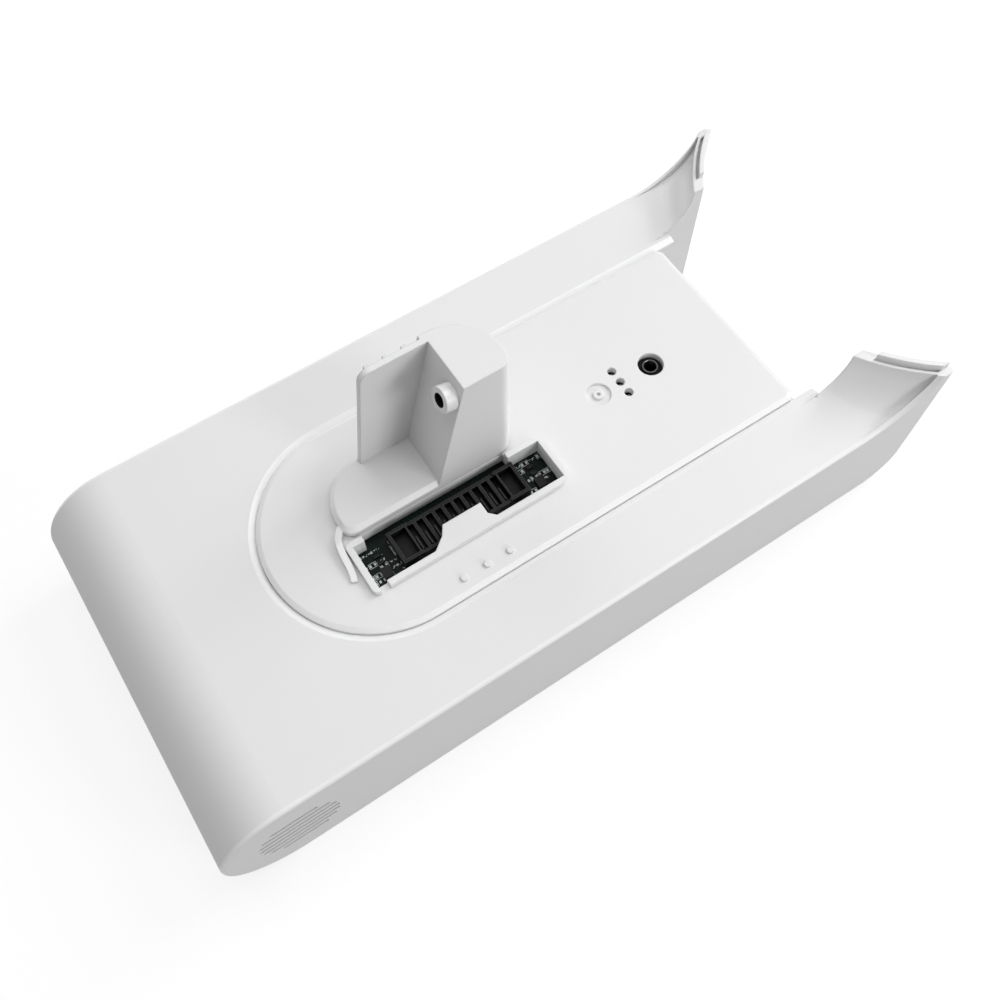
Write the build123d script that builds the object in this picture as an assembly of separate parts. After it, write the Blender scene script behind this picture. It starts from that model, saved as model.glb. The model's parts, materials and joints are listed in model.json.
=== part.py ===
from build123d import *
import math
import os

# Cordless vacuum battery pack: a white moulded slab with a full-round nose, a raised deck that
# carries the plug slot and the guide tower, and two wings that hug the round body of the cleaner.
# Millimetres. +X runs from the nose to the wings, +Y to the tower's curved side, +Z up from the
# flat underside. The origin is the middle of the footprint, on the surface it lies on.

# Housing
length = 200.0
width = 94.0
height = 37.0
wall = 2.2
edge_round = 1.1
heel_round = 10.5
over = 1.0
touch = 0.01

# Wings: their end faces follow a cylinder that stands for the cleaner's round body
cup_radius = 56.0
gap_half = 30.6
shelf_long = 5.4
rim_rise = 11.5
sweep_radius = 11.0
rim_thick = 2.7
cheek_thick = 1.4
cheek_radius = 14.5
tip_land = 1.6
tongue_rise = 1.5
tongue_thick = 1.2
groove_wide = 0.7
groove_deep = 1.2
tongue_start = 34.0
tongue_stop = 45.0

# Deck
deck_from_nose = 67.5
deck_radius = 27.8
wing_reach = 29.1
deck_thick = 2.0
deck_proud = 0.7
deck_gap = 0.06
deck_bevel = 1.2
deck_bevel_deep = 0.6
deck_corner = 1.5
groove_slope = 1.7
groove_drop = 0.7
ledge_wide = 2.4
ledge_thick = 2.4

# Plug slot in the deck, measured from the deck's round centre
slot_left = -8.2
slot_right = 42.4
slot_far = -4.2
slot_near = -15.3
slot_lip = 3.0
skirt_thick = 1.2
skirt_gap = 0.2
frame_thick = 1.6
frame_rise = 1.6
frame_corner = 4.0
frame_corner_left = 1.4
frame_gap = 2.4
keeper_thick = 1.2
keeper_reach = 4.8
keeper_long = 10.3
keeper_from_left = 20.0

# Small features of the deck
mark_count = 3
pip_diameter = 1.7
pip_rise = 0.5
pip_first = 9.2
pip_pitch = 6.2
pip_y = -23.8
row_y = -0.8
dimple_to_led = 6.6
dimple_diameter = 6.3
dimple_deep = 0.6
nub_diameter = 2.8
led_to_jack = 9.4
led_pitch = 3.6
led_hole = 2.3
jack_from_end = 24.4
jack_hole = 6.6

# Guide tower
tower_left = -8.4
tower_right = 37.4
tower_near = -1.8
tower_far = 15.4
tower_rise = 36.1
tower_draft = 0.5
tower_wall = 1.8
platform_rise = 3.2
platform_bevel = 1.1
tower_round_left = 12.4
tower_round_right = 11.6
tower_round_near = 3.5
lean_foot = 16.6
lean_head = 24.7
fin_foot = 3.8
fin_head = 8.2
fin_thick = 1.5
fin_inset = 1.2
fin_round = 3.0
post_lap = 1.2
post_round = 0.8
rib_first = 10.7
rib_pitch = 4.55
rib_wide = 1.1
rib_deep = 0.9
rib_short = 0.4
ridge_thick = 1.6
ridge_start = 4.0
ridge_out = 2.7
ridge_end = 3.8
ridge_low = 0.5
boss_diameter = 6.2
boss_hole = 3.4
boss_long = 3.0
boss_rise = 30.4
boss_y = 1.8
post_diameter = 5.6
post_spread = 7.0
post_long = 14.0
web_thick = 1.4

# Circuit board under the deck and the pieces on it
board_drop = 1.7
board_thick = 1.6
board_left = -11.5
board_end_space = 13.4
board_near = -21.0
board_far = 7.5
board_hole_inset = 3.0
plug_left = -0.1
plug_long = 34.6
plug_deep = 8.8
plug_near = -13.4
plug_rise = 3.6
rib_drop = 0.5
plug_floor = 0.6
plug_wall = 0.8
end_pocket = 3.8
contact_count = 10
contact_pitch = 2.54
contact_thick = 0.4
jack_diameter = 9.0
jack_clear = 1.5
jack_neck = 6.2
jack_neck_rise = 1.4
jack_bore = 5.5
jack_floor = 3.4
jack_pin_diameter = 2.1
jack_flange = 11.5
jack_flange_thick = 1.0
part_gap = 0.15
ic_long = 2.4
ic_deep = 2.8
ic_rise = 0.9
passive_long = 1.6
passive_deep = 0.8
passive_rise = 0.6
passive_pitch = 1.9
passive_rows = 2
led_long = 2.0
led_deep = 1.3
led_rise = 1.2
power_row_y = -12.0
power_first = 8.0
power_pitch = 9.0
power_count = 4
power_long = 6.6
power_deep = 6.1
power_rise = 2.3
chip_x = 55.0
chip_side = 9.0
chip_rise = 1.5
capacitor_x = 66.0
capacitor_diameter = 6.3
capacitor_clear = 3.3

# Cells lie across the slab, side by side
cell_count = 7
block_space = 7.75
cell_web = 0.5
cell_long = 65.2
cell_nub_diameter = 6.0
cell_nub_long = 0.6
cell_round = 0.6
cell_clear = 0.15
cell_lift = 0.8
holder_deep = 8.0
holder_end = 1.2
holder_top = 0.8
strip_thick = 0.3
strip_wide = 8.0
strip_tail_wide = 4.0
sheet_thick = 0.4
lead_diameter = 2.2
lead_bend = 2.4

# Base cover that closes the underside
cover_margin = 6.5
cover_edge = 1.2
cover_step = 2.4
cover_gap = 0.2
cover_corner = 5.0
fence_thick = 1.4
fence_rise = 4.0

# Vent: a round field of slots in each side wall, on the nose's axis
vent_diameter = 20.0
vent_slot = 1.2
vent_pitch = 2.7
vent_count = 7

# Screws
screw_diameter = 2.0
screw_head = 3.8
screw_head_rise = 1.3
screw_clear = 0.05

# Places worked out from the sizes above
half = width / 2
nose_radius = height / 2
nose_x = nose_radius - length / 2
tip_x = length / 2
deck_x = deck_from_nose - length / 2
deck_long = length - deck_from_nose - wing_reach
deck_end = deck_x + deck_long
deck_top = height + deck_proud
deck_under = deck_top - deck_thick
cup_x = tip_x + math.sqrt(cup_radius**2 - (half - tip_land) ** 2)
rim_z = height + rim_rise
board_top = deck_under - board_drop
board_under = board_top - board_thick
board_right = deck_long - board_end_space
jack_x = deck_long - jack_from_end
led_x = jack_x - led_to_jack
dimple_x = led_x - dimple_to_led
room_left = nose_x
room_right = deck_end - wall
cells_x = (room_left + room_right) / 2
cell_pitch = (room_right - room_left - 2 * (block_space + holder_end)) / cell_count
cell_diameter = cell_pitch - cell_web
cell_z = wall + cell_lift + cell_diameter / 2
cell_end = cell_long / 2
cell_xs = [cells_x + (i - (cell_count - 1) / 2) * cell_pitch for i in range(cell_count)]
holder_height = cell_lift + cell_diameter + holder_top
holder_z = wall + holder_height
block_half = (cell_count * cell_pitch) / 2 + holder_end
sheet_top = holder_z + sheet_thick
jack_long = deck_under - sheet_top - jack_clear
jack_bore_deep = jack_long + jack_neck_rise - jack_floor
capacitor_long = board_under - sheet_top - capacitor_clear


def plan(sketch, bottom, top):
    """A prism from a plan sketch, between two heights."""
    return extrude(Pos(0, 0, bottom) * sketch, amount=top - bottom)


def box(x0, x1, y0, y1, z0, z1):
    """A block between two corners."""
    middle = Pos((x0 + x1) / 2, (y0 + y1) / 2, (z0 + z1) / 2)
    return middle * Box(x1 - x0, y1 - y0, z1 - z0)


def post(x, y, z0, z1, diameter):
    """An upright cylinder between two heights."""
    return Pos(x, y, (z0 + z1) / 2) * Cylinder(diameter / 2, z1 - z0)


def both_sides(piece):
    """A piece and its mirror image across the middle plane."""
    return piece + mirror(piece, about=Plane.XZ)


def side_outline(inset, top, tip, heel):
    """Outline of the slab in side view: full-round nose, flat faces and a rounded heel."""
    nose = Pos(nose_x, nose_radius) * Circle(nose_radius - inset)
    slab = Pos((nose_x + tip) / 2, (inset + top) / 2) * Rectangle(tip - nose_x, top - inset)
    heel_corner = slab.vertices().group_by(Axis.Y)[0].sort_by(Axis.X)[-1]
    return nose + fillet(heel_corner, heel)


def deck_plan(grow, end):
    """Plan of the deck: a half round at the nose side and straight sides to the wing end."""
    radius = deck_radius + grow
    straight = Pos((deck_x + end) / 2, 0) * Rectangle(end - deck_x, 2 * radius)
    return Pos(deck_x, 0) * Circle(radius) + straight


def cup(radius, bottom, top):
    """The upright cylinder of the cleaner's body, grown to a radius."""
    return post(cup_x, 0, bottom, top, 2 * radius)


def wing_sweep(radius):
    """What is cleared above the slab so that its top sweeps up to the wings' rims."""
    inner = cup_radius + rim_thick
    far_out = length
    high = height + 2 * radius
    with BuildSketch(Plane.XZ) as section:
        with BuildLine():
            Line((inner + radius, height), (far_out, height))
            Line((far_out, height), (far_out, high))
            Line((far_out, high), (inner, high))
            Line((inner, high), (inner, height + radius))
            RadiusArc((inner, height + radius), (inner + radius, height), -radius)
        make_face()
    return Pos(cup_x, 0, 0) * revolve(section.sketch, Axis.Z)


def rim_ring(inner, thick, bottom, top):
    """A ring round the cleaner's body, kept to the wings' rims."""
    ring = cup(inner + thick, bottom, top) - cup(inner, bottom, top)
    keep = box(deck_end, tip_x, tongue_start, tongue_stop, bottom, top)
    return ring & both_sides(keep)


def housing_outside():
    """The slab with its wings, before it is hollowed."""
    slab = extrude(Plane.XZ * side_outline(0, height, tip_x, heel_round), half, both=True)
    riser = box(deck_end, tip_x, -half, half, height - wall, rim_z)
    between = half - cheek_thick
    inside_cheeks = box(-length, length, -between, between, 0, length)
    body = slab + riser - wing_sweep(cheek_radius) - (wing_sweep(sweep_radius) & inside_cheeks)
    body -= box(deck_end, tip_x + wall, -gap_half, gap_half, -wall, rim_z + wall)
    body -= cup(cup_radius, -wall, rim_z + wall)
    on_side = [e for e in body.edges() if abs(e.center().Y) > half - touch]
    long_edges = [e for e in on_side if e.center().X < tip_x - touch and e.center().Z < rim_z - touch]
    return fillet(long_edges, edge_round)


def housing_inside():
    """The room inside the slab, with its wings."""
    outline = side_outline(wall, height - wall, tip_x - wall, heel_round - wall)
    room = extrude(Plane.XZ * outline, half - wall, both=True)
    room -= box(deck_end - wall, tip_x, -gap_half - wall, gap_half + wall, 0, height)
    return room - cup(cup_radius + wall, 0, height)


def vent_slots():
    """Slots through a side wall, trimmed to a round field."""
    field = Sketch()
    for i in range(vent_count):
        row = (i - (vent_count - 1) / 2) * vent_pitch
        field += Pos(0, row) * SlotOverall(2 * math.sqrt((vent_diameter / 2) ** 2 - row**2), vent_slot)
    place = Plane(origin=(nose_x, -half - over, nose_radius), x_dir=(1, 0, 0), z_dir=(0, -1, 0))
    return extrude(place * field, -(wall + 2 * over))


def cover_plan(shrink):
    """Plan of the base cover, less a margin all round."""
    left = cells_x - block_half - fence_thick - cover_step + shrink
    right = cells_x + block_half + fence_thick + cover_step - shrink
    side = half - cover_margin - shrink
    return Pos((left + right) / 2, 0) * RectangleRounded(right - left, 2 * side, cover_corner)


def deck_groove():
    """What is cleared to slope the shell's top down to the deck, all round the deck's edge."""
    end = deck_end + shelf_long + over
    low = Pos(0, 0, height - groove_drop) * deck_plan(deck_gap, end)
    high = Pos(0, 0, height + groove_drop) * deck_plan(deck_gap + 2 * groove_slope, end)
    return loft([low, high], ruled=True)


def make_housing_shell():
    """Main moulding: nose, walls, strips beside the deck, wings, ledge for the deck and vents."""
    shell = housing_outside() - housing_inside()
    shelf_end = deck_end + shelf_long
    shelf = box(deck_end - wall, shelf_end, deck_radius + deck_gap, gap_half + wall, height - wall, height)
    shell += both_sides(shelf)
    ledge = plan(deck_plan(ledge_wide, deck_end), deck_under - ledge_thick, height - wall / 2)
    shell += ledge & housing_inside()
    hatch = deck_plan(-ledge_wide, deck_end - wall - ledge_wide)
    shell -= plan(hatch, deck_under - ledge_thick - over, height + over)
    shell -= plan(deck_plan(deck_gap, deck_end + deck_gap), deck_under, height + over)
    shell -= deck_groove()
    shell -= plan(cover_plan(0), -over, cover_edge)
    shell -= plan(cover_plan(cover_step), -over, wall + over)
    shell -= both_sides(vent_slots())
    groove = cup_radius + tongue_thick
    shell -= rim_ring(groove, groove_wide, rim_z - groove_deep, rim_z + over)
    return shell + rim_ring(cup_radius, tongue_thick, rim_z - groove_deep, rim_z + tongue_rise)


def make_base_cover():
    """Flush plate in the underside, with a fence that locates the cell block."""
    plate = plan(cover_plan(cover_gap), 0, cover_edge) + plan(cover_plan(cover_step + cover_gap), 0, wall)
    inner = block_half + cell_clear
    depth = cell_end + strip_thick + cell_clear
    room = Rectangle(2 * inner, 2 * depth)
    fence = Rectangle(2 * (inner + fence_thick), 2 * (depth + fence_thick)) - room
    return plate + plan(Pos(cells_x, 0) * fence, wall, wall + fence_rise)


def tower_notch():
    """Room beside the plug, where the slot's far wall lies flush with the tower's near face."""
    left = deck_x + slot_left + slot_lip
    right = deck_x + tower_right - tower_round_near
    return box(left, right, slot_far, tower_near, board_top, deck_top + frame_rise + over)


def slot_frame():
    """Raised frame round the plug slot, open beside the tower, with the keeper tab over the plug."""
    left = deck_x + slot_left
    right = deck_x + slot_right
    notch = tower_notch().bounding_box()
    frame_top = deck_top + frame_rise
    outer_far = slot_far + frame_thick
    outer_near = slot_near - frame_thick
    middle = Pos((left + right) / 2, (outer_near + outer_far) / 2)
    outer = middle * Rectangle(right - left + 2 * frame_thick, outer_far - outer_near)
    outer = fillet(outer.vertices().group_by(Axis.X)[-1], frame_corner)
    outer = fillet(outer.vertices().group_by(Axis.X)[0], frame_corner_left)
    frame = plan(outer, deck_top, frame_top)
    frame -= box(left, left + frame_gap, outer_near, slot_near, deck_top, frame_top)
    keeper_left = left + keeper_from_left
    keeper_right = keeper_left + keeper_long
    reach = slot_near + keeper_reach
    keeper = make_face(
        Polyline(
            (keeper_left - keeper_reach, slot_near),
            (keeper_left - keeper_reach / 3, slot_near + keeper_reach / 2),
            (keeper_left, reach),
            (keeper_right, reach),
            (keeper_right, slot_near + keeper_reach / 3),
            (keeper_right + keeper_reach / 3, slot_near),
            close=True,
        )
    )
    skirt = middle * Rectangle(right - left + 2 * skirt_thick, slot_far - slot_near + 2 * skirt_thick)
    frame += plan(skirt, board_top + skirt_gap, deck_under)
    x0, x1 = notch.min.X - skirt_thick, notch.max.X + skirt_thick
    frame += box(x0, x1, slot_far, tower_near + skirt_thick, board_top + skirt_gap, deck_under)
    frame -= box(left, right, slot_near, slot_far, board_top, frame_top + over) + tower_notch()
    return frame + plan(keeper, frame_top - keeper_thick, frame_top)


def board_holes():
    """Places of the screws that hang the board from the deck."""
    left = deck_x + board_left + board_hole_inset
    right = deck_x + board_right - board_hole_inset
    rows = (board_near + board_hole_inset, board_far - board_hole_inset)
    return [(x, y) for x in (left, right) for y in rows]


def tower_posts():
    """Places of the screws that hold the tower on the deck."""
    middle = deck_x + (lean_foot + tower_right) / 2
    row = (tower_near + tower_far) / 2
    return [(middle - post_spread / 2, row), (middle + post_spread / 2, row)]


def led_ys():
    """Places of the three lamps across the deck."""
    return [row_y + (i - (mark_count - 1) / 2) * led_pitch for i in range(mark_count)]


def make_deck_cover():
    """Raised deck panel with the slot frame, the lamp and jack holes, pips and bosses below."""
    panel = deck_plan(0, deck_end)
    corners = panel.vertices().group_by(Axis.X)[-1]
    deck = plan(chamfer(corners, deck_corner), deck_under, deck_top)
    upper = deck.faces().sort_by(Axis.Z)[-1]
    deck = chamfer(upper.edges(), deck_bevel, deck_bevel_deep, reference=upper)
    deck -= box(deck_x + slot_left, deck_x + slot_right, slot_near, slot_far, board_top, deck_top + over)
    deck -= tower_notch()
    deck += slot_frame()
    for i in range(mark_count):
        deck += post(deck_x + pip_first + i * pip_pitch, pip_y, deck_top, deck_top + pip_rise, pip_diameter)
    for y in led_ys():
        deck -= post(deck_x + led_x, y, deck_under - over, deck_top + over, led_hole)
    dimple = post(deck_x + dimple_x, row_y, deck_top - dimple_deep, deck_top, dimple_diameter)
    deck -= dimple - post(deck_x + dimple_x, row_y, deck_top - dimple_deep, deck_top, nub_diameter)
    deck -= post(deck_x + dimple_x, row_y, deck_top - dimple_deep, deck_top, nub_diameter / 3)
    deck -= post(deck_x + jack_x, row_y, deck_under - over, deck_top + over, jack_hole)
    for x, y in board_holes():
        deck += post(x, y, board_top, deck_under, screw_head + over)
        deck -= post(x, y, board_top, deck_under + deck_thick / 2, screw_diameter + 2 * screw_clear)
    for x, y in tower_posts():
        deck -= post(x, y, deck_under - over, deck_top + over, screw_diameter + 2 * screw_clear)
    return deck


def tower_plan(inset):
    """Plan of the tower: flat on the slot's side and round on the far side."""
    x0 = deck_x + tower_left + inset
    x1 = deck_x + tower_right - inset
    y0 = tower_near + inset
    y1 = tower_far - inset
    sketch = Pos((x0 + x1) / 2, (y0 + y1) / 2) * Rectangle(x1 - x0, y1 - y0)
    far_left, far_right = sketch.vertices().group_by(Axis.Y)[-1].sort_by(Axis.X)
    sketch = fillet(far_left, tower_round_left - inset)
    far_right = sketch.vertices().group_by(Axis.X)[-1].sort_by(Axis.Y)[-1]
    sketch = fillet(far_right, tower_round_right - inset)
    near_right = sketch.vertices().group_by(Axis.X)[-1].sort_by(Axis.Y)[0]
    sketch = fillet(near_right, tower_round_near - inset)
    near_left = sketch.vertices().group_by(Axis.X)[0].sort_by(Axis.Y)[0]
    return fillet(near_left, tower_round_near - inset)


def lean_line(shift):
    """Foot and head of the leaning wall in side view, moved along X."""
    foot = (deck_x + lean_foot + shift, deck_top + platform_rise)
    head = (deck_x + lean_head + shift, deck_top + tower_rise)
    return foot, head


def side_cut(points, y0, y1):
    """A prism through the tower from an outline in side view."""
    face = make_face(Polyline(*points, close=True))
    return Pos(0, y1, 0) * extrude(Plane.XZ * face, y1 - y0)


def foot_ridge():
    """Curved ridge that runs from the platform past the slot's left end and fades into the deck."""
    left = deck_x + slot_left
    end = slot_near + frame_corner
    start = (left + ridge_thick, tower_near + ridge_start)
    bend = (left - ridge_thick, tower_near + ridge_thick)
    path = Spline(start, bend, (left - ridge_out, slot_far), (left - ridge_end, end))
    high = deck_top + platform_rise - platform_bevel
    ridge = plan(trace(path, ridge_thick), deck_top, high)
    low_end = end - ridge_thick
    low = (low_end, deck_top + ridge_low)
    slope = make_face(Polyline(low, (tower_near, high), (low_end, high), close=True))
    return ridge - Pos(left - half, 0, 0) * extrude(Plane.YZ * slope, width)


def make_guide_tower():
    """Guide tower: platform, thin fin at the far side, leaning wall with its boss, hollow post."""
    top = deck_top + tower_rise
    floor = deck_top + platform_rise
    left = deck_x + tower_left - over
    fin_out = tower_far - fin_inset
    post_body = extrude(Pos(0, 0, deck_top) * tower_plan(0), tower_rise, taper=tower_draft)
    foot, head = lean_line(0)
    above = [(head[0], top + over), (left, top + over), (left, floor)]
    pocket = side_cut([foot, head, *above], tower_near - over, fin_out - fin_thick)
    fin_low = (deck_x + fin_foot, floor)
    fin_high = (deck_x + fin_head, top)
    above = [(fin_high[0], top + over), (left, top + over), (left, floor)]
    beside_fin = side_cut([fin_low, fin_high, *above], tower_near - over, tower_far + over)
    foot, head = lean_line(-post_lap)
    above = [(head[0], top + over), (left, top + over), (left, floor)]
    behind_fin = side_cut([foot, head, *above], fin_out, tower_far + over)
    tower = post_body - pocket - beside_fin - behind_fin
    platform_face = tower.faces().filter_by(Axis.Z).group_by(Axis.Z)[1].sort_by(SortBy.AREA)[-1]
    rim = platform_face.edges()
    rim = rim.filter_by(lambda e: e.center().X < fin_low[0] or e.center().Y < tower_near + over)
    tower = chamfer(rim, platform_bevel)
    fin_corner = tower.edges().group_by(Axis.Z)[-1].sort_by(Axis.X)[0]
    tower = fillet(fin_corner, fin_round)
    long_edges = ShapeList(e for e in tower.edges() if e.length > tower_rise / 2)
    back_edges = long_edges.filter_by(lambda e: e.center().Y > fin_out + over / 2)
    tower = fillet(back_edges.sort_by(Axis.X)[0], post_round)
    for i in range(mark_count):
        x = deck_x + rib_first + i * rib_pitch
        x0, x1 = x - rib_wide / 2, x + rib_wide / 2
        tower += box(x0, x1, fin_out - fin_thick / 2, fin_out + rib_deep, floor, top - rib_short)
    core = extrude(Pos(0, 0, deck_top) * tower_plan(tower_wall), tower_rise - tower_wall, taper=tower_draft)
    foot, head = lean_line(tower_wall)
    solid_side = [(left, deck_top), (foot[0], deck_top), foot, head, (left, head[1])]
    core -= side_cut(solid_side, tower_near - over, tower_far + over)
    post_top = deck_top + post_long
    for x, y in tower_posts():
        core -= post(x, y, deck_top, post_top, post_diameter)
        core -= box(left, deck_x + tower_right, y - web_thick / 2, y + web_thick / 2, deck_top, post_top)
    tower = tower - core + foot_ridge()
    foot, head = lean_line(0)
    lean = math.degrees(math.atan2(head[0] - foot[0], head[1] - foot[1]))
    on_wall = foot[0] + (boss_rise - platform_rise) * math.tan(math.radians(lean))
    boss_frame = Pos(on_wall, boss_y, deck_top + boss_rise) * Rot(0, lean - 90, 0)
    sunk = boss_long + tower_wall / 2
    tower += boss_frame * Pos(0, 0, boss_long - sunk / 2) * Cylinder(boss_diameter / 2, sunk)
    tower -= boss_frame * Cylinder(boss_hole / 2, 2 * (boss_long + tower_wall))
    for x, y in tower_posts():
        tower -= post(x, y, deck_top, post_top - tower_wall, screw_diameter + 2 * screw_clear)
    return tower


def make_circuit_board():
    """Main board, hung from the deck's bosses."""
    board = box(deck_x + board_left, deck_x + board_right, board_near, board_far, board_under, board_top)
    for x, y in board_holes():
        board -= post(x, y, board_under, board_top, screw_diameter + 2 * screw_clear)
    return board - post(deck_x + jack_x, row_y, board_under, board_top, jack_diameter + 2 * part_gap)


def contact_xs():
    """Centres of the plug's contact slots."""
    middle = deck_x + plug_left + plug_long / 2
    return [middle + (i - (contact_count - 1) / 2) * contact_pitch for i in range(contact_count)]


def make_connector_housing():
    """Black plug block: two square end pockets and a row of contact slots between them."""
    left = deck_x + plug_left
    top = board_top + plug_rise
    y0 = plug_near + plug_wall
    y1 = plug_near + plug_deep - plug_wall
    block = box(left, left + plug_long, plug_near, plug_near + plug_deep, board_top, top)
    for x in (left + plug_wall, left + plug_long - plug_wall - end_pocket):
        block -= box(x, x + end_pocket, y0, y1, board_top + plug_floor, top)
    slot_half = (contact_pitch - plug_wall) / 2
    for x in contact_xs():
        block -= box(x - slot_half, x + slot_half, y0, y1, board_top + plug_floor, top)
    first = left + 2 * plug_wall + end_pocket
    last = left + plug_long - 2 * plug_wall - end_pocket
    return block - box(first, last, plug_near, plug_near + plug_deep, top - rib_drop, top)


def make_connector_contacts():
    """Blade contacts, one standing in each slot of the plug block."""
    low = board_top + plug_floor
    high = board_top + plug_rise - 2 * plug_wall
    y0 = plug_near + 2 * plug_wall
    y1 = plug_near + plug_deep / 2 + plug_wall
    return [box(x - contact_thick / 2, x + contact_thick / 2, y0, y1, low, high) for x in contact_xs()]


def on_board(x, y, long, deep, rise, below=False):
    """A block soldered to the board's upper or lower face."""
    z0 = board_under - rise if below else board_top
    return box(deck_x + x - long / 2, deck_x + x + long / 2, y - deep / 2, y + deep / 2, z0, z0 + rise)


def make_board_parts():
    """Small parts on the upper face, at the two ends of the plug slot."""
    middle = (slot_near + slot_far) / 2
    parts = []
    for x in ((slot_left + plug_left) / 2, (slot_right + plug_left + plug_long) / 2):
        parts.append(on_board(x, middle - passive_pitch, ic_long, ic_deep, ic_rise))
        for row in range(passive_rows):
            y = middle + (row + 0.5) * passive_pitch
            parts.append(on_board(x, y, passive_long, passive_deep, passive_rise))
    return parts


def make_power_transistors():
    """Four power transistors on the board's lower face."""
    xs = [power_first + i * power_pitch for i in range(power_count)]
    return [on_board(x, power_row_y, power_long, power_deep, power_rise, below=True) for x in xs]


def make_jack_body():
    """Charging jack: a round body through the board, with its neck in the deck's hole."""
    x = deck_x + jack_x
    body = post(x, row_y, deck_under - jack_long, deck_under, jack_diameter)
    body += post(x, row_y, deck_under, deck_under + jack_neck_rise, jack_neck)
    body += post(x, row_y, board_under - jack_flange_thick, board_under, jack_flange)
    top = deck_under + jack_neck_rise
    return body - post(x, row_y, top - jack_bore_deep, top, jack_bore)


def make_jack_pin():
    """Centre pin of the charging jack, standing on the floor of its bore."""
    low = deck_under + jack_neck_rise - jack_bore_deep
    pin = post(deck_x + jack_x, row_y, low, deck_under, jack_pin_diameter)
    return fillet(pin.edges().sort_by(Axis.Z)[-1], jack_pin_diameter / 3)


def make_status_leds():
    """Three lamps on the board, one under each small hole of the deck."""
    return [on_board(led_x, y, led_long, led_deep, led_rise) for y in led_ys()]


def across(x, y0, y1, diameter):
    """A lying cylinder along Y, at the height of the cells."""
    return Pos(x, (y0 + y1) / 2, cell_z) * Rot(90, 0, 0) * Cylinder(diameter / 2, y1 - y0)


def make_cell(i):
    """A round cell, with its raised positive end on alternate sides."""
    can = across(cell_xs[i], -cell_end, cell_end - cell_nub_long, cell_diameter)
    can = chamfer(can.edges().filter_by(GeomType.CIRCLE), cell_round)
    cell = can + across(cell_xs[i], 0, cell_end, cell_nub_diameter)
    return cell if i % 2 == 0 else mirror(cell, about=Plane.XZ)


def make_cell_holder(side):
    """Comb that holds one end of all the cells and stands in the base cover's fence."""
    y0, y1 = sorted((side * (cell_end - holder_deep), side * cell_end))
    comb = box(cells_x - block_half, cells_x + block_half, y0, y1, wall, holder_z)
    for x in cell_xs:
        comb -= across(x, y0, y1, cell_diameter + 2 * cell_clear)
    return comb


def strip(x0, x1, side, z0, z1):
    """Nickel strip against the cell ends of one side."""
    y0, y1 = sorted((side * cell_end, side * (cell_end + strip_thick)))
    return box(x0, x1, y0, y1, z0, z1)


def make_link_strip(i):
    """Strip that joins a cell to the next one, on alternate sides."""
    side = 1 if i % 2 == 0 else -1
    reach = strip_wide / 2
    return strip(cell_xs[i] - reach, cell_xs[i + 1] + reach, side, cell_z - reach, cell_z + reach)


def lead_start(end):
    """X of the place where a main tab hands over to its lead: under the board's end."""
    inset = 3 * board_hole_inset
    return deck_x + (board_left + inset if end == 0 else board_right - 2 * inset)


def tab_side(end):
    """Side of the free cell end: near for the first cell, far for the last one."""
    return -1 if end == 0 else 1


def make_main_tab(end):
    """End tab of the cell row: a pad on the last cell, an arm along the holder and a foot."""
    side = tab_side(end)
    reach = strip_wide / 2
    tail = strip_tail_wide / 2
    x = cell_xs[0] if end == 0 else cell_xs[-1]
    x_lead = lead_start(end)
    x0, x1 = sorted((x, x_lead))
    tab = strip(x - reach, x + reach, side, cell_z - reach, holder_z)
    tab += strip(x0 - tail, x1 + tail, side, holder_z - strip_tail_wide, holder_z)
    y0, y1 = sorted((side * cell_end, side * (cell_end + strip_thick + lead_diameter)))
    return tab + box(x_lead - tail, x_lead + tail, y0, y1, holder_z - strip_thick, holder_z)


def make_power_lead(end):
    """Insulated lead from a main tab up to the board's lower face."""
    side = tab_side(end)
    x = lead_start(end)
    y = side * (cell_end + strip_thick + lead_diameter / 2)
    high = (holder_z + board_under) / 2
    y_board = board_near + board_hole_inset if side < 0 else board_far - board_hole_inset
    corners = [(x, y, holder_z), (x, y, high), (x, y_board, high), (x, y_board, board_under)]
    start = Plane(origin=corners[0], z_dir=(0, 0, 1))
    return sweep(start * Circle(lead_diameter / 2), path=FilletPolyline(*corners, radius=lead_bend))


def make_insulation_sheet():
    """Stiff paper over the cells, lying on both holders."""
    sheet = Pos(cells_x, 0) * Rectangle(2 * block_half, 2 * cell_end)
    return plan(sheet, holder_z, sheet_top)


def screw(x, y, head_z, shank_long):
    """A pan-head screw driven upwards, with its head's bearing face at a height."""
    head = post(x, y, head_z - screw_head_rise, head_z, screw_head)
    return head + post(x, y, head_z, head_z + shank_long, screw_diameter)


def make_board_screws():
    """Screws that hang the board from the deck."""
    return [screw(x, y, board_under, board_thick + board_drop + deck_thick / 4) for x, y in board_holes()]


def make_tower_screws():
    """Screws that hold the tower, driven through the deck."""
    return [screw(x, y, deck_under, deck_thick + post_long / 2) for x, y in tower_posts()]


def make_controller_chip():
    """Battery controller on the board's lower face."""
    return on_board(chip_x, power_row_y, chip_side, chip_side, chip_rise, below=True)


def make_capacitor():
    """Round capacitor standing on the board's lower face."""
    low = board_under - capacitor_long
    return post(deck_x + capacitor_x, power_row_y, low, board_under, capacitor_diameter)


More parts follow.
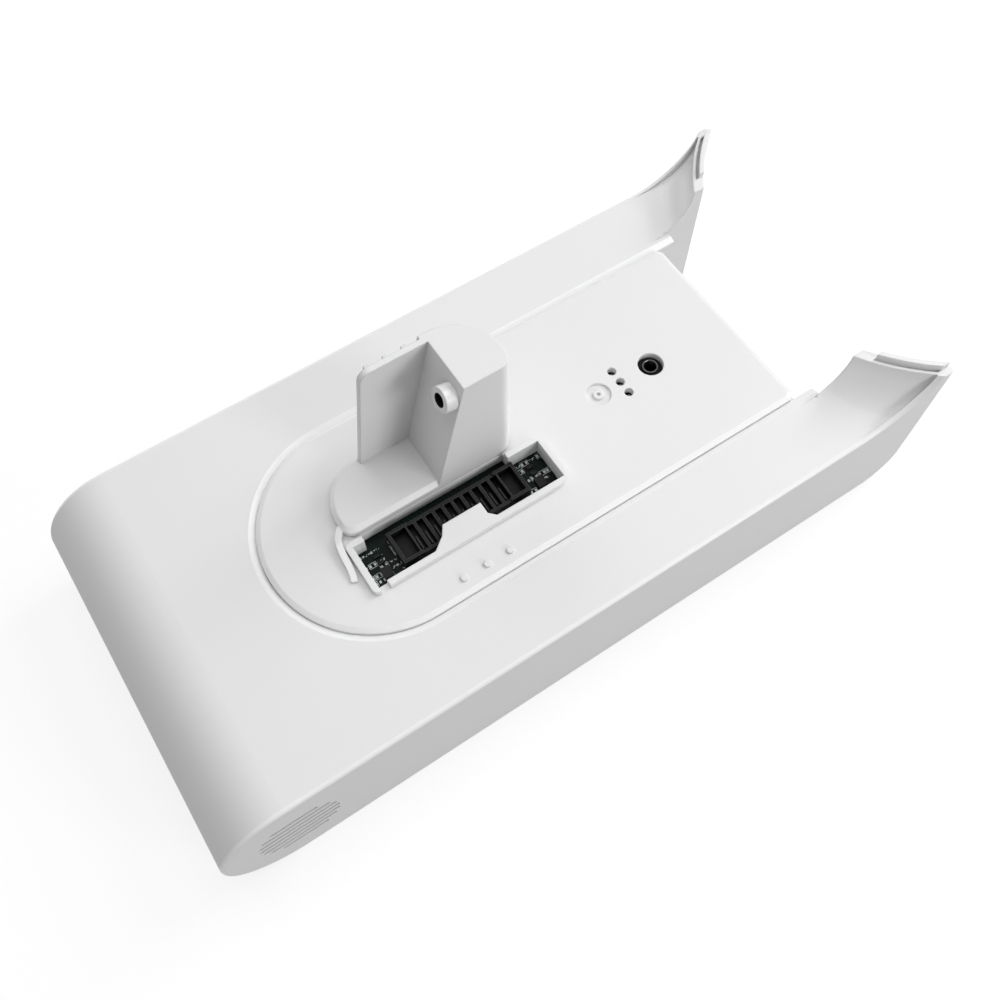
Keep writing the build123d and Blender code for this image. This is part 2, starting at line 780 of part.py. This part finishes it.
pieces = {
    "housing_shell": make_housing_shell(),
    "base_cover": make_base_cover(),
    "deck_cover": make_deck_cover(),
    "guide_tower": make_guide_tower(),
    "circuit_board": make_circuit_board(),
    "connector_housing": make_connector_housing(),
    "connector_contacts": make_connector_contacts(),
    "board_parts": make_board_parts(),
    "power_transistors": make_power_transistors(),
    "controller_chip": make_controller_chip(),
    "capacitor": make_capacitor(),
    "jack_body": make_jack_body(),
    "jack_pin": make_jack_pin(),
    "status_leds": make_status_leds(),
    "cell_holder_near": make_cell_holder(-1),
    "cell_holder_far": make_cell_holder(1),
    "negative_tab": make_main_tab(0),
    "positive_tab": make_main_tab(1),
    "negative_lead": make_power_lead(0),
    "positive_lead": make_power_lead(1),
    "insulation_sheet": make_insulation_sheet(),
    "board_screws": make_board_screws(),
    "tower_screws": make_tower_screws(),
}
for i in range(cell_count):
    pieces[f"cell_{i + 1}"] = make_cell(i)
for i in range(cell_count - 1):
    pieces[f"link_strip_{i + 1}"] = make_link_strip(i)

os.makedirs("parts", exist_ok=True)
for name, piece in pieces.items():
    solid = Compound(children=piece) if isinstance(piece, list) else piece
    export_step(solid, f"parts/{name}.step")
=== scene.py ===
import bpy
import json
import math
from mathutils import Matrix, Vector


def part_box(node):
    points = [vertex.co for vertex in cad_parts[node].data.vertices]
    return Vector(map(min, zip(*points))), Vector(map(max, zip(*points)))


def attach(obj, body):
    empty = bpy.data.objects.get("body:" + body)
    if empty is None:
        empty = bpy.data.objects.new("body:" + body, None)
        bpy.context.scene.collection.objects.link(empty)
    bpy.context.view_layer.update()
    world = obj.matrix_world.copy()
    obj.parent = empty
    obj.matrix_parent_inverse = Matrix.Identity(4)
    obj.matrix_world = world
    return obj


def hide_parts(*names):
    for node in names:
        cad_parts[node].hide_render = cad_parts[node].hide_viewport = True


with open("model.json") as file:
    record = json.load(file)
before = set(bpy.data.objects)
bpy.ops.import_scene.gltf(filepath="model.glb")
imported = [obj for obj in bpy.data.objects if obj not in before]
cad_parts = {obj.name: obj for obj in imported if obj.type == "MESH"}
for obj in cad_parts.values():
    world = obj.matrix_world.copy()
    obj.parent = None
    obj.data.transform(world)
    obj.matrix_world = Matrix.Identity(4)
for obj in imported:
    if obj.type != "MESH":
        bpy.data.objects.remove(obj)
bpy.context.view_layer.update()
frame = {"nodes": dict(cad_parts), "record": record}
nodes = frame["nodes"]


# Cells: seven round cans lying side by side across the pack.
# Each is a drawn steel can in a shrunk sleeve that stops short of the bare metal ends.
class Socket:
    """An output in a material's node tree. Sums and products of it add Math nodes."""

    ray_count = 6
    edge_gain = 4.0

    def __init__(self, tree, out=None):
        self.tree = tree
        self.out = out

    def node(self, kind, settings, inputs, output=0):
        """Adds a node, with its settings set first and then its sockets' values or links."""
        made = self.tree.nodes.new(kind)
        for name, value in settings.items():
            setattr(made, name, value)
        for name, value in inputs.items():
            if isinstance(value, Socket):
                self.tree.links.new(value.out, made.inputs[name])
            else:
                made.inputs[name].default_value = value
        return Socket(self.tree, made.outputs[output])

    def math(self, operation, first, second=0.0):
        return self.node("ShaderNodeMath", {"operation": operation}, {0: first, 1: second})

    def __add__(self, other):
        return self.math("ADD", self, other)

    __radd__ = __add__

    def __sub__(self, other):
        return self.math("SUBTRACT", self, other)

    def __rsub__(self, other):
        return self.math("SUBTRACT", other, self)

    def __mul__(self, other):
        return self.math("MULTIPLY", self, other)

    __rmul__ = __mul__

    def __lt__(self, other):
        return self.math("LESS_THAN", self, other)

    def __gt__(self, other):
        return self.math("GREATER_THAN", self, other)

    def __abs__(self):
        return self.math("ABSOLUTE", self)

    def axes(self):
        """The three parts of a vector."""
        split = self.node("ShaderNodeSeparateXYZ", {}, {0: self})
        outs = split.out.node.outputs
        return [Socket(self.tree, outs[i]) for i in range(3)]

    def noise(self, scale, detail=3.0, stretch=(1.0, 1.0, 1.0)):
        """Soft random values from 0 to 1, so many to the metre."""
        place = self.node("ShaderNodeMapping", {}, {"Vector": self, "Scale": stretch})
        inputs = {"Vector": place, "Scale": scale, "Detail": detail}
        return self.node("ShaderNodeTexNoise", {}, inputs)

    def between(self, low, high):
        """A number that goes from low to high as this value goes from 0 to 1."""
        return low + self * (high - low)

    def colour_between(self, first, second):
        """A colour that goes from first to second as this value goes from 0 to 1."""
        settings = {"data_type": "RGBA"}
        return self.node("ShaderNodeMix", settings, {0: self, 6: first, 7: second}, 2)

    def clamped(self):
        """This value, kept between 0 and 1."""
        return self.node("ShaderNodeClamp", {}, {"Value": self})

    def tile(self, pitch):
        """The number of the tile that a length falls in, and its place in it from 0 to 1."""
        count = self * (1.0 / pitch)
        number = self.math("FLOOR", count)
        return number, count - number

    def crevice(self, reach, by_itself=False):
        """How closed in a place is by what stands within reach, or by its own piece: 0 to 1."""
        settings = {"samples": self.ray_count, "only_local": by_itself}
        open_share = self.node("ShaderNodeAmbientOcclusion", settings, {"Distance": reach}, "AO")
        return 1.0 - open_share

    def edge(self, radius):
        """How near a place is to a sharp edge, within a radius: 0 on a plain face, 1 on the edge."""
        rounded = self.node("ShaderNodeBevel", {"samples": self.ray_count}, {"Radius": radius})
        flat = self.node("ShaderNodeNewGeometry", {}, {}, "Normal")
        settings = {"operation": "DOT_PRODUCT"}
        likeness = self.node("ShaderNodeVectorMath", settings, {0: rounded, 1: flat}, "Value")
        return ((1.0 - likeness) * self.edge_gain).clamped()

    def inside(self, spot, axis, radius):
        """1 inside a round bore through a spot along an axis, and 0 outside it."""
        arm = self.node("ShaderNodeVectorMath", {"operation": "SUBTRACT"}, {0: self, 1: spot})
        settings = {"operation": "CROSS_PRODUCT"}
        cross = self.node("ShaderNodeVectorMath", settings, {0: arm, 1: axis})
        length = self.node("ShaderNodeVectorMath", {"operation": "LENGTH"}, {0: cross}, "Value")
        return length < radius

    def relief(self, height, soft_edge=0.0):
        """A surface normal raised by this value, over edges softened by a radius in metres."""
        inputs = {"Height": self, "Strength": 1.0, "Distance": height}
        if soft_edge:
            settings = {"samples": self.ray_count}
            inputs["Normal"] = self.node("ShaderNodeBevel", settings, {"Radius": soft_edge})
        return self.node("ShaderNodeBump", {}, inputs)


def new_finish(name):
    """A new material, its shader and its place in the object's own frame."""
    material = bpy.data.materials.new(name)
    material.use_nodes = True
    shader = material.node_tree.nodes["Principled BSDF"]
    place = Socket(material.node_tree).node("ShaderNodeTexCoord", {}, {}, "Object")
    return material, shader, place


def feed(shader, **inputs):
    """Sets the shader's sockets to numbers or links."""
    for name, value in inputs.items():
        socket = shader.inputs[name.replace("_", " ")]
        if isinstance(value, Socket):
            value.tree.links.new(value.out, socket)
        else:
            socket.default_value = value


def dress(material, *names):
    """Gives a material to the solids of these names."""
    for name in names:
        nodes[name].data.materials.clear()
        nodes[name].data.materials.append(material)


cell_names = sorted(name for name in nodes if name.removeprefix("cell_").isdigit())
bare_length = 0.0014
sleeve_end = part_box(cell_names[0])[1].y - bare_length
sleeve_green = (0.05, 0.27, 0.24, 1.0)
bare_steel = (0.62, 0.61, 0.58, 1.0)
cell_wrap, shader, place = new_finish("cell_wrap")
x, y, z = place.axes()
bare_end = abs(y) > sleeve_end
crinkle = place.noise(scale=900.0)
feed(
    shader,
    Base_Color=bare_end.colour_between(sleeve_green, bare_steel),
    Metallic=bare_end,
    Roughness=crinkle.between(0.28, 0.38),
    Normal=crinkle.relief(height=0.00002),
)
dress(cell_wrap, *cell_names)


# Cell holders: two dark moulded combs that space the cells and stand in the base cover's fence.
# Plain unpainted plastic, with the fine grain of a spark-eroded mould.
holder_light = (0.1, 0.1, 0.11, 1.0)
holder_dark = (0.07, 0.07, 0.08, 1.0)
holder_plastic, shader, place = new_finish("holder_plastic")
drift_scale = 28.0
drift_share = 0.7
drift_gloss = 0.06
grain_gloss = 0.08
drift = place.noise(scale=drift_scale, detail=2.0)
grain = place.noise(scale=1250.0, detail=4.0)
mottle = drift * drift_share + grain * (1.0 - drift_share)
feed(
    shader,
    Base_Color=mottle.colour_between(holder_dark, holder_light),
    Roughness=0.5 + drift * drift_gloss + grain * grain_gloss,
    Normal=grain.relief(height=0.00002, soft_edge=0.0003),
    Specular_IOR_Level=0.45,
)
dress(holder_plastic, "cell_holder_near", "cell_holder_far")


# Link strips and end tabs: rolled nickel strip, spot-welded to the cell ends.
# The rolling leaves fine lines along the strip.
nickel_dark = (0.5, 0.49, 0.46, 1.0)
nickel_light = (0.68, 0.66, 0.62, 1.0)
nickel, shader, place = new_finish("nickel_strip")
rolling = place.noise(scale=5200.0, detail=2.0, stretch=(0.03, 1.0, 1.0))
feed(
    shader,
    Base_Color=rolling.colour_between(nickel_dark, nickel_light),
    Metallic=1.0,
    Roughness=rolling.between(0.25, 0.45),
    Normal=rolling.relief(height=0.00001),
)
link_names = [name for name in nodes if name.startswith("link_strip_")]
dress(nickel, "negative_tab", "positive_tab", *link_names)


# Power leads: soft insulated wire from the end tabs up to the board, one black and one red.
# Silicone insulation, slightly dusty and matt.
def insulated(name, colour, dusty):
    """Soft wire insulation with a powdery bloom."""
    material, shader, place = new_finish(name)
    bloom = place.noise(scale=700.0)
    feed(
        shader,
        Base_Color=bloom.colour_between(colour, dusty),
        Roughness=bloom.between(0.5, 0.7),
        Normal=bloom.relief(height=0.00002),
    )
    return material


lead_black = (0.012, 0.012, 0.012, 1.0)
dusty_black = (0.03, 0.03, 0.03, 1.0)
lead_red = (0.42, 0.015, 0.012, 1.0)
dusty_red = (0.5, 0.04, 0.03, 1.0)
dress(insulated("black_insulation", lead_black, dusty_black), "negative_lead")
dress(insulated("red_insulation", lead_red, dusty_red), "positive_lead")


# Insulation sheet: stiff fish paper laid over the cells.
# Pressed fibre, with faint long fibres in its face.
paper_dark = (0.25, 0.38, 0.31, 1.0)
paper_light = (0.36, 0.5, 0.41, 1.0)
fish_paper, shader, place = new_finish("fish_paper")
fibre = place.noise(scale=1400.0, detail=5.0, stretch=(0.25, 1.0, 1.0))
feed(
    shader,
    Base_Color=fibre.colour_between(paper_dark, paper_light),
    Roughness=fibre.between(0.72, 0.87),
    Normal=fibre.relief(height=0.00004),
)
dress(fish_paper, "insulation_sheet")


# Circuit board: glass laminate under dark green solder mask, hung from the deck by four screws.
# Copper runs show as slightly raised lighter lines. Bright pads, white outlines and small
# lettering lie in a grid of little tiles, and each tile draws what it holds.
laminate, shader, place = new_finish("solder_mask")
x, y, z = place.axes()
trace_pitch = 0.0011
trace_half_width = trace_pitch * 0.16
trace_slant = 0.35
trace = x.math("PINGPONG", x + trace_slant * y, trace_pitch / 2) < trace_half_width
copper = trace * (place.noise(scale=260.0, detail=1.0) > 0.5)
tile_long = 0.0022
tile_wide = 0.0015
column, across = x.tile(tile_long)
row, along = y.tile(tile_wide)
tile_number = place.node("ShaderNodeCombineXYZ", {}, {0: column, 1: row})
flat_noise = {"noise_dimensions": "2D"}
pick = place.node("ShaderNodeTexWhiteNoise", flat_noise, {"Vector": tile_number}, "Value")
from_middle = abs(across - 0.5)
beside = abs(along - 0.5)
pad_offset = 0.26
pad_half_long = 0.11
pad_half_wide = 0.24
padded_over = 0.62
pads = abs(from_middle - pad_offset) < pad_half_long
pads = pads * (beside < pad_half_wide) * (pick > padded_over)
outline_reach = 0.46
outline_inner_long = 0.4
outline_inner_wide = 0.38
outlined_over = 0.74
outside = (from_middle > outline_inner_long) + (beside > outline_inner_wide)
outline = (from_middle < outline_reach) * (beside < outline_reach) * (outside > 0.5)
outline = outline * (pick > outlined_over)
letter_half_high = 0.2
ink_over = 0.56
lettered_under = 0.16
ink = place.noise(scale=2300.0, detail=1.0) > ink_over
lettering = ink * (beside < letter_half_high) * (pick < lettered_under)
in_the_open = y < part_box("connector_housing")[1].y
printed = (pads + outline + lettering).clamped() * in_the_open
mask_green = (0.0015, 0.005, 0.004, 1.0)
copper_green = (0.003, 0.016, 0.012, 1.0)
mark_white = (0.56, 0.61, 0.58, 1.0)
feed(
    shader,
    Base_Color=printed.colour_between(copper.colour_between(mask_green, copper_green), mark_white),
    Roughness=printed.between(0.3, 0.65),
    Normal=(copper + printed).relief(height=0.00004),
    Specular_IOR_Level=0.16,
)
dress(laminate, "circuit_board")


# Small parts of the board: moulded black chips and a drawn aluminium capacitor.
# The chips are matt, and the capacitor is a bare can with lines from its drawing.
chip_dark = (0.006, 0.006, 0.007, 1.0)
chip_light = (0.018, 0.018, 0.02, 1.0)
chip_black, shader, place = new_finish("chip_black")
speckle = place.noise(scale=3200.0, detail=2.0)
feed(
    shader,
    Base_Color=speckle.colour_between(chip_dark, chip_light),
    Roughness=speckle.between(0.45, 0.6),
    Normal=speckle.relief(height=0.00001, soft_edge=0.0001),
    Specular_IOR_Level=0.25,
)
dress(chip_black, "board_parts", "power_transistors", "controller_chip")

can_dark = (0.6, 0.6, 0.62, 1.0)
can_light = (0.75, 0.75, 0.77, 1.0)
drawn_can, shader, place = new_finish("drawn_can")
drawing = place.noise(scale=2600.0, detail=2.0, stretch=(1.0, 1.0, 0.02))
feed(
    shader,
    Base_Color=drawing.colour_between(can_dark, can_light),
    Metallic=1.0,
    Roughness=drawing.between(0.3, 0.4),
)
dress(drawn_can, "capacitor")


# Plug block and its contacts: black moulded connector with a row of slots.
# The plastic is matt, with a painted highlight along its edges and painted shade deep in its slots;
# the contacts are plated spring metal.
plug_dark = (0.011, 0.011, 0.012, 1.0)
plug_light = (0.02, 0.02, 0.021, 1.0)
plug_edge_highlight = (0.15, 0.15, 0.155, 1.0)
plug_slot_shade = (0.0012, 0.0012, 0.0013, 1.0)
slot_reach = 0.0022
slot_gain = 2.2
plug_black, shader, place = new_finish("plug_black")
grain = place.noise(scale=2500.0, detail=4.0)
rib_top = grain.colour_between(plug_dark, plug_light)
# Painted highlight: the plastic is lightened along its edges.
rib_highlighted = place.edge(radius=0.0002).colour_between(rib_top, plug_edge_highlight)
# Painted shade: closed-in slot depths are darkened to near black.
shade = (place.crevice(slot_reach) * slot_gain).clamped()
feed(
    shader,
    Base_Color=shade.colour_between(rib_highlighted, plug_slot_shade),
    Roughness=grain.between(0.34, 0.46),
    Normal=grain.relief(height=0.00001, soft_edge=0.0002),
    Specular_IOR_Level=0.22,
)
dress(plug_black, "connector_housing")

# The contacts' plating is painted far darker than bare metal, as painted shade of the slots they sit
# in.
contact_shade_dark = (0.03, 0.03, 0.028, 1.0)
contact_shade_light = (0.08, 0.078, 0.073, 1.0)
plated, shader, place = new_finish("plated_contact")
wipe = place.noise(scale=4200.0, detail=2.0, stretch=(1.0, 0.1, 1.0))
feed(
    shader,
    Base_Color=wipe.colour_between(contact_shade_dark, contact_shade_light),
    Metallic=1.0,
    Roughness=wipe.between(0.3, 0.5),
)
dress(plated, "connector_contacts")


# Charging jack: a black turned socket under the deck's hole, with a plated sleeve and centre pin.
# The socket's face lies just under the deck, so the hole's white wall shows above it.
mm_per_m = 1000


def turned(name, profile, foot, material, *replaced):
    """A piece spun round an upright axis over its foot, from (radius, height) points in mm."""
    steps = 56
    sharp_over = math.radians(35)
    turns = [Matrix.Rotation(math.tau * i / steps, 3, "Z") for i in range(steps)]
    spots = []
    rings = []
    faces = []
    for radius, rise in profile:
        arms = [turn @ Vector((radius, 0, rise)) for turn in turns]
        if radius == 0:
            rings.append([len(spots)] * steps)
            spots.append(foot + arms[0] / mm_per_m)
        else:
            rings.append(range(len(spots), len(spots) + steps))
            spots += [foot + arm / mm_per_m for arm in arms]
    for low, high in zip(rings, rings[1:]):
        for i in range(steps):
            j = (i + 1) % steps
            faces.append(list(dict.fromkeys((low[i], low[j], high[j], high[i]))))
    mesh = bpy.data.meshes.new(name)
    mesh.from_pydata(spots, [], faces)
    mesh.shade_smooth()
    mesh.set_sharp_from_angle(angle=sharp_over)
    mesh.materials.append(material)
    piece = bpy.data.objects.new(name, mesh)
    bpy.context.scene.collection.objects.link(piece)
    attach(piece, "root")
    if replaced:
        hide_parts(*replaced)


jack_low, jack_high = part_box("jack_body")
jack_foot = (jack_low + jack_high) / 2
jack_foot.z = jack_low.z
pin_foot = jack_foot.copy()
pin_foot.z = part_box("jack_pin")[0].z
face_drop = 1.4
sleeve_bore = 1.6
socket_radius = 4.5
socket_chamfer = 0.3
flange_radius = 5.75
flange_thick = 1.0
board_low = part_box("circuit_board")[0].z
face_rise = (jack_high.z - jack_low.z) * mm_per_m - face_drop
floor_rise = (pin_foot.z - jack_low.z) * mm_per_m
flange_high = (board_low - jack_low.z) * mm_per_m
flange_low = flange_high - flange_thick
socket_outline = [
    (0, 0),
    (socket_radius - socket_chamfer, 0),
    (socket_radius, socket_chamfer),
    (socket_radius, flange_low),
    (flange_radius, flange_low),
    (flange_radius, flange_high),
    (socket_radius, flange_high),
    (socket_radius, face_rise - socket_chamfer),
    (socket_radius - socket_chamfer, face_rise),
    (sleeve_bore, face_rise),
    (sleeve_bore, floor_rise),
    (0, floor_rise),
]
turned("charging_socket", socket_outline, jack_foot, plug_black, "jack_body")

plate_dark = (0.16, 0.16, 0.165, 1.0)
plate_light = (0.26, 0.26, 0.265, 1.0)
dark_plate, shader, place = new_finish("dark_plate")
turning = place.noise(scale=5200.0, detail=1.0, stretch=(1.0, 1.0, 0.05))
feed(
    shader,
    Base_Color=turning.colour_between(plate_dark, plate_light),
    Metallic=1.0,
    Roughness=turning.between(0.24, 0.38),
)
sleeve_foot = jack_foot.copy()
sleeve_foot.z += face_rise / mm_per_m
sleeve_rise = 1.3
sleeve_wall = 0.4
sleeve_chamfer = 0.12
sleeve_outline = [
    (sleeve_bore + sleeve_wall, 0),
    (sleeve_bore + sleeve_wall, sleeve_rise - sleeve_chamfer),
    (sleeve_bore + sleeve_wall - sleeve_chamfer, sleeve_rise),
    (sleeve_bore + sleeve_chamfer, sleeve_rise),
    (sleeve_bore, sleeve_rise - sleeve_chamfer),
    (sleeve_bore, 0),
]
turned("socket_sleeve", sleeve_outline, sleeve_foot, dark_plate)

pin_drop = 1.5
pin_radius = 0.55
pin_rise = face_rise - floor_rise - pin_drop
pin_outline = [
    (pin_radius, 0),
    (pin_radius, pin_rise - 0.4),
    (0.42, pin_rise - 0.12),
    (0.2, pin_rise),
    (0, pin_rise),
]
turned("socket_pin", pin_outline, pin_foot, dark_plate, "jack_pin")


# Lamps: three small clear lamps on the board, one under each small hole of the deck.
# Water-clear resin, unlit.
resin_dark = (0.2, 0.2, 0.17, 1.0)
resin_light = (0.34, 0.34, 0.3, 1.0)
clear_resin, shader, place = new_finish("clear_resin")
haze = place.noise(scale=1800.0)
feed(
    shader,
    Base_Color=haze.colour_between(resin_dark, resin_light),
    Roughness=haze.between(0.12, 0.22),
)
dress(clear_resin, "status_leds")


# Deck cover, guide tower, housing shell and base cover: white moulded plastic, satin from the mould.
# A fine even grain breaks up the gloss. Rounded rims and edges carry a painted highlight, and rims
# are a little glossier; tight corners get painted shade, and so does the tower's recess, and the
# boss's bore is painted dark as shade.
soft_white = (0.84, 0.84, 0.844, 1.0)
cool_white = (0.82, 0.82, 0.826, 1.0)
shaded_white = (0.5, 0.5, 0.51, 1.0)
highlight_white = (0.96, 0.96, 0.962, 1.0)
bore_shade_grey = (0.012, 0.012, 0.0125, 1.0)
corner_reach = 0.0016
corner_shade = 0.8
hollow_reach = 0.02
hollow_over = 0.2
hollow_gain = 3.0
highlight_share = 0.8
rim_gloss = 0.22
boss = next(mount for mount in frame["record"]["mounts"] if mount["name"] == "tower_boss")
bore_margin = 0.03
bore_radius = (boss["dims"]["r_mm"] + bore_margin) / mm_per_m


def satin_white(name, hollow_shade):
    """White moulding: even grain, painted shade in corners and hollows, painted highlight on rims
    and edges, a bore painted dark as shade.
    """
    material, shader, place = new_finish(name)
    drift = place.noise(scale=drift_scale, detail=2.0)
    grain = place.noise(scale=1700.0, detail=4.0)
    # Painted shade: tight corners, and on the tower its recess, are greyed where other surfaces
    # close them in.
    corner = place.crevice(corner_reach)
    hollow = (place.crevice(hollow_reach, by_itself=True) - hollow_over) * hollow_gain
    # Painted highlight: edges, and rims whose faces turn sideways, are lightened towards white.
    edge_highlight = place.edge(radius=0.0006) * (1.0 - corner * 2.5).clamped()
    sideways = abs(place.node("ShaderNodeNewGeometry", {}, {}, "Normal").axes()[1])
    rim = (sideways * (1.0 - sideways) * 4.0).clamped()
    painted_highlight = (edge_highlight * highlight_share + rim * highlight_share).clamped()
    # Painted shade: inside the boss's bore the colour is near black.
    bore = place.inside(boss["pos_m"], boss["axis"], bore_radius)
    mottle = drift * drift_share + grain * (1.0 - drift_share)
    clean_white = mottle.colour_between(cool_white, soft_white)
    hollow_shaded_white = (hollow.clamped() * hollow_shade).colour_between(clean_white, shaded_white)
    corner_shaded_white = (corner * corner * corner_shade).colour_between(hollow_shaded_white, shaded_white)
    highlighted_white = painted_highlight.colour_between(corner_shaded_white, highlight_white)
    feed(
        shader,
        Base_Color=bore.colour_between(highlighted_white, bore_shade_grey),
        Roughness=0.38 + drift * drift_gloss + grain * grain_gloss - rim * rim_gloss,
        Normal=grain.relief(height=0.000012, soft_edge=0.0005),
        Specular_IOR_Level=0.4,
    )
    return material


white_plastic = satin_white("white_plastic", hollow_shade=0.0)
tower_white = satin_white("tower_white", hollow_shade=0.6)
dress(white_plastic, "housing_shell", "deck_cover", "base_cover")
dress(tower_white, "guide_tower")


# Screws: zinc-plated pan heads, driven up from inside.
# The plating is finely crystalline, and duller in places.
zinc_dark = (0.45, 0.45, 0.47, 1.0)
zinc_light = (0.6, 0.6, 0.62, 1.0)
zinc, shader, place = new_finish("zinc_plate")
crystal = place.noise(scale=2400.0)
feed(
    shader,
    Base_Color=crystal.colour_between(zinc_dark, zinc_light),
    Metallic=1.0,
    Roughness=crystal.between(0.28, 0.46),
)
dress(zinc, "board_screws", "tower_screws")


# Floor: a plain pale sweep that the pack lies on, white to the camera and in reflections.
# It throws little light back on the pack's sides and takes its soft shadow.
floor_half = 4.0
floor_mesh = bpy.data.meshes.new("floor")
floor_signs = ((-1, -1), (1, -1), (1, 1), (-1, 1))
floor_corners = [(i * floor_half, j * floor_half, 0.0) for i, j in floor_signs]
floor_mesh.from_pydata(floor_corners, [], [(0, 1, 2, 3)])
floor = bpy.data.objects.new("floor", floor_mesh)
bpy.context.scene.collection.objects.link(floor)
floor_lift = 0.78
floor_tone = 0.25
black = (0.0, 0.0, 0.0, 1.0)
white = (1.0, 1.0, 1.0, 1.0)
floor_white, shader, place = new_finish("floor_white")
seen = place.node("ShaderNodeLightPath", {}, {}, "Is Camera Ray")
shine = place.node("ShaderNodeLightPath", {}, {}, "Is Glossy Ray")
clear = place.node("ShaderNodeLightPath", {}, {}, "Is Transmission Ray")
lift = (seen + shine + clear) * floor_lift
feed(
    shader,
    Base_Color=(floor_tone, floor_tone, floor_tone, 1.0),
    Roughness=0.9,
    Emission_Color=lift.colour_between(black, white),
    Emission_Strength=1.0,
)
floor_mesh.materials.append(floor_white)


# Light: soft lamps, the stronger ones towards the wing end and the near side, in an even pale room.
# They throw the tower's soft shadow towards the nose; the room is as pale as the far floor.
world = bpy.data.worlds.new("studio")
bpy.context.scene.world = world
world.use_nodes = True
room_light = 0.33
sky_lift = floor_lift + floor_tone * room_light - room_light
sky_seen = Socket(world.node_tree).node("ShaderNodeLightPath", {}, {}, "Is Camera Ray")
backdrop = world.node_tree.nodes["Background"]
feed(backdrop, Color=white, Strength=room_light + sky_seen * sky_lift)
pack_middle = Vector((0.0, 0.0, 0.03))


def soft_lamp(name, spot, size, power):
    """A square soft lamp at a spot, turned to the pack's middle."""
    light = bpy.data.lights.new(name, "AREA")
    light.size = size
    light.energy = power
    lamp = bpy.data.objects.new(name, light)
    lamp.location = spot
    lamp.rotation_euler = (pack_middle - Vector(spot)).to_track_quat("-Z", "Y").to_euler()
    bpy.context.scene.collection.objects.link(lamp)


soft_lamp("overhead", (0.0, 0.0, 0.9), size=0.6, power=1.8)
soft_lamp("right", (0.6, 0.0, 0.7), size=0.35, power=2.1)
soft_lamp("right_low", (0.8, 0.1, 0.5), size=0.3, power=1.5)
soft_lamp("front", (0.42, -0.85, 0.35), size=0.35, power=2.9)
soft_lamp("rear", (0.0, 0.8, 0.6), size=0.5, power=1.2)


# Camera: a hand-held view from above the nose, near the near side.
# Its place and aim were fitted to the pack's edges; the lens is that of a plain phone camera.
camera_data = bpy.data.cameras.new("camera")
camera_data.sensor_width = 36.0
camera_data.lens = 36.955
camera_data.clip_start = 0.005
camera = bpy.data.objects.new("camera", camera_data)
camera_spot = (-0.06416, -0.10145, 0.25247)
right = Vector((0.83585, -0.54896, -0.00194))
up = Vector((0.49209, 0.74769, 0.44587))
back = Vector((-0.24331, -0.37363, 0.8951))
camera_turn = Matrix((right, up, back)).transposed().to_4x4()
camera.matrix_world = Matrix.Translation(camera_spot) @ camera_turn
bpy.context.scene.collection.objects.link(camera)
bpy.context.scene.camera = camera
bpy.context.scene.view_settings.view_transform = "Standard"
